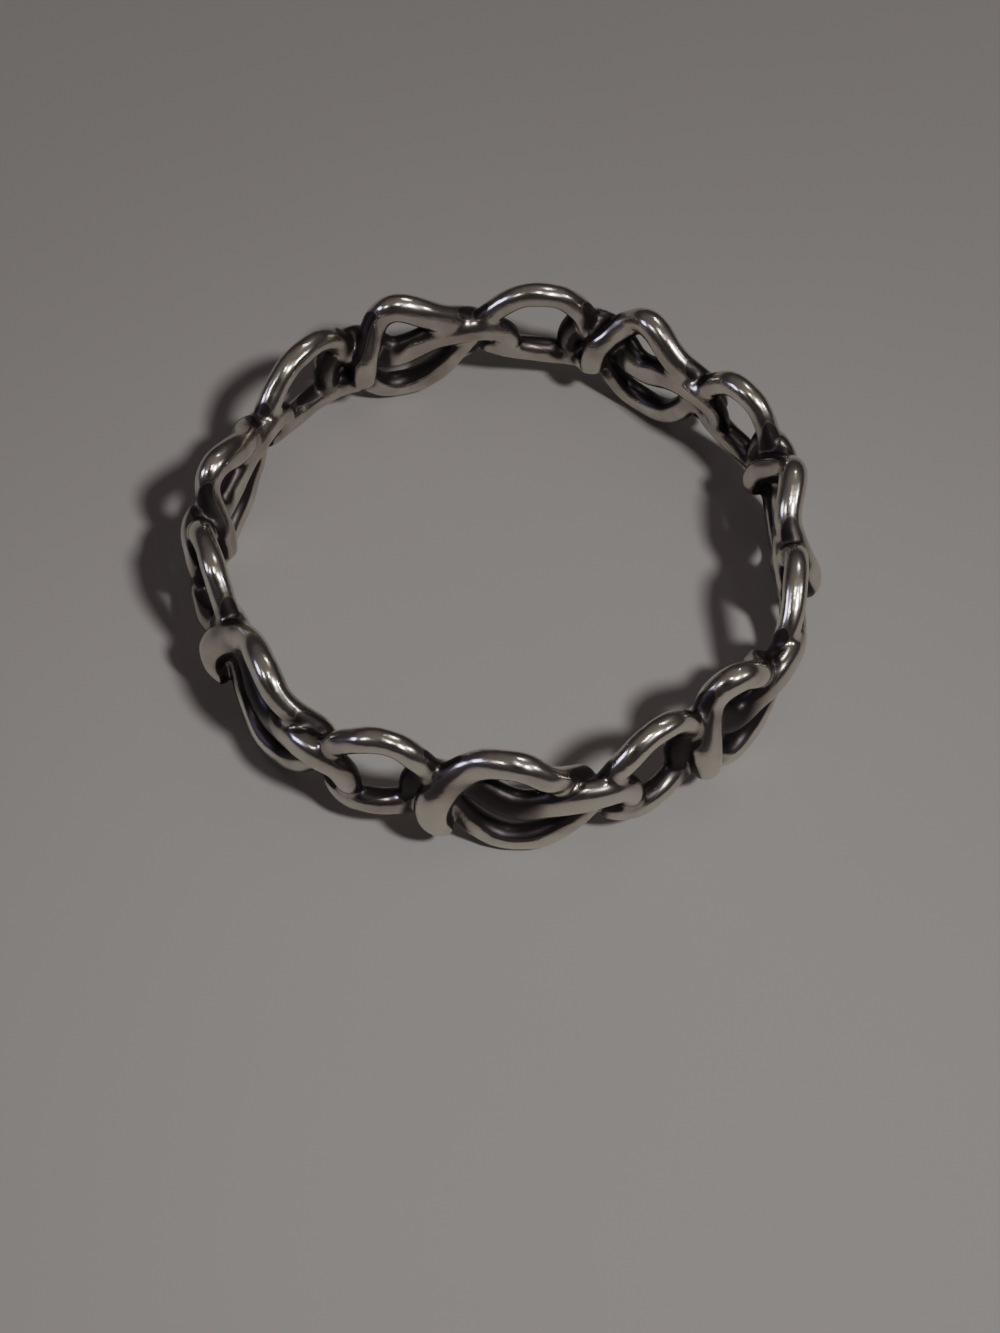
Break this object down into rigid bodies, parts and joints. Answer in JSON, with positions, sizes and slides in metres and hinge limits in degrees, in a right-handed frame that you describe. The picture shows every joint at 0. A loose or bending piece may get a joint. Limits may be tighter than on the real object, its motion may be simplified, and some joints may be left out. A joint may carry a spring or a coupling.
{
  "type": "knot ring",
  "caption": "Pierced cast silver finger ring: a wavy strand, arches and thick tongues interlaced into a band of big loops and small eyes, grown together as one solid.",
  "frame": {"origin": "on the ring's axis, in the plane that the band's lower edge rests on", "axes": "+Z along the finger, away from the surface; -Y towards the side that the picture shows in front"},
  "size_m": [0.0208, 0.0205, 0.0049],
  "materials": {
    "silver": "mirror polished on the high places, blackened in the recesses"
  },
  "bodies": {
    "root": {"knot_band": "silver"}
  },
  "joints": []
}
